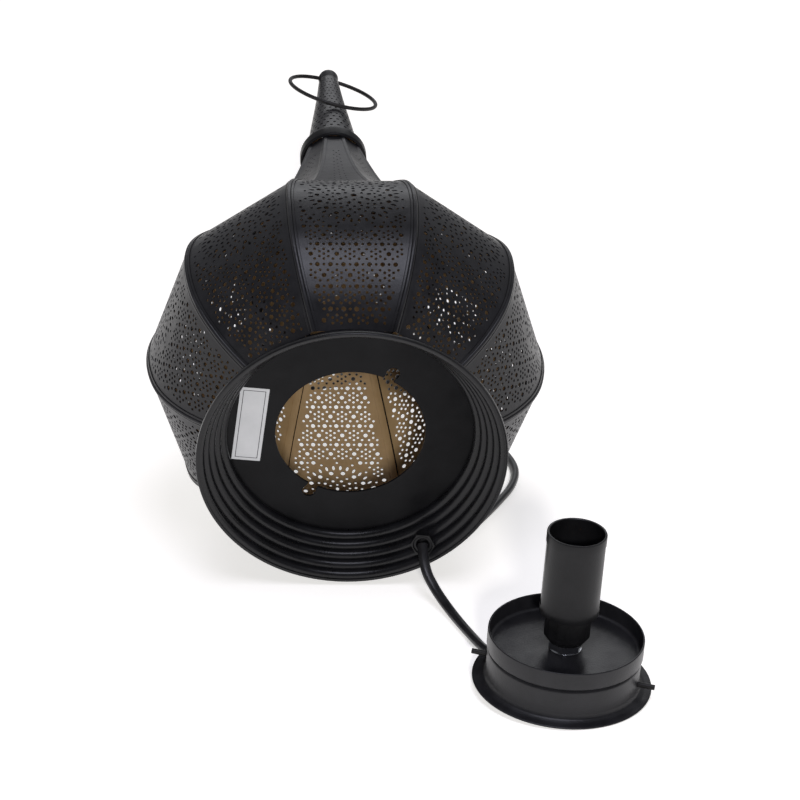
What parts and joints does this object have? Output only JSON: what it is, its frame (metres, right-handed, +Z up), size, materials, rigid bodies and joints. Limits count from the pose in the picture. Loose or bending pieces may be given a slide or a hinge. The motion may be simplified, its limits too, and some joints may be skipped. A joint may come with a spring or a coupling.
{
  "type": "perforated metal lantern",
  "caption": "Onion-shaped lantern of pierced black sheet metal on its side, with its lamp holder insert taken out and standing beside it on its lead.",
  "frame": {"origin": "on the floor, under the centre of the box round the lantern and its insert, without the lead and what is on it", "axes": "+Z up from the floor; +Y the way the spire points, level; +X to the right seen from the lantern's open base"},
  "size_m": [0.2364, 0.4979, 0.1889],
  "materials": {
    "black_paint": "satin",
    "dark_wire": "satin",
    "black_plastic": "satin",
    "zinc_steel": "plated",
    "brass": "plain",
    "lead_rubber": "smooth",
    "label_paper": "matt"
  },
  "bodies": {
    "root": {"base_skirt": "black_paint", "base_plate": "black_paint", "cord_bushing": "black_plastic", "bushing_nut": "black_paint", "blank_label": "label_paper", "body_panel_01": "black_paint", "body_panel_02": "black_paint", "body_panel_03": "black_paint", "body_panel_04": "black_paint", "body_panel_05": "black_paint", "body_panel_06": "black_paint", "body_panel_07": "black_paint", "body_panel_08": "black_paint", "body_panel_09": "black_paint", "body_panel_10": "black_paint", "body_rib_01": "black_paint", "body_rib_02": "black_paint", "body_rib_03": "black_paint", "body_rib_04": "black_paint", "body_rib_05": "black_paint", "body_rib_06": "black_paint", "body_rib_07": "black_paint", "body_rib_08": "black_paint", "body_rib_09": "black_paint", "body_rib_10": "black_paint", "neck": "black_paint", "spire_collar": "black_paint", "spire_cone": "black_paint", "finial": "black_paint", "lead_to_insert": "lead_rubber", "lead_to_switch": "lead_rubber", "lead_to_coil": "lead_rubber", "lead_to_plug": "lead_rubber", "lead_coil": "lead_rubber", "switch_base": "black_plastic", "switch_cover": "black_plastic", "plug_body": "black_plastic", "plug_pins": "zinc_steel"},
    "insert": {"insert_flange": "black_paint", "insert_tray": "black_paint", "bayonet_pins": "black_paint", "threaded_nipple": "zinc_steel", "holder_nut": "zinc_steel", "lock_nut": "zinc_steel", "holder_cap": "black_plastic", "holder_core": "black_plastic", "holder_sleeve": "black_plastic", "thread_shell": "brass", "centre_contact": "brass", "lead_clamp": "black_plastic", "clamp_screws": "zinc_steel", "holder_cores": "brass"},
    "ring": {"hanging_ring": "dark_wire"},
    "rocker": {"switch_rocker": "black_plastic"}
  },
  "joints": [
    {"name": "ring_swing", "type": "hinge", "parent": "root", "child": "ring", "pos_m": [-0.01823, 0.23735, 0.16046], "axis": [-0.9641, -0.0629, 0.258], "range_deg": [0, 331]},
    {"name": "insert_lift", "type": "slide", "parent": "root", "child": "insert", "axis": [0, 0, 1], "range_m": [0, 0.06]},
    {"name": "rocker_tilt", "type": "hinge", "parent": "root", "child": "rocker", "pos_m": [0.00377, 0.24204, 0.0124], "axis": [0, 1, 0], "range_deg": [0, 14]}
  ]
}
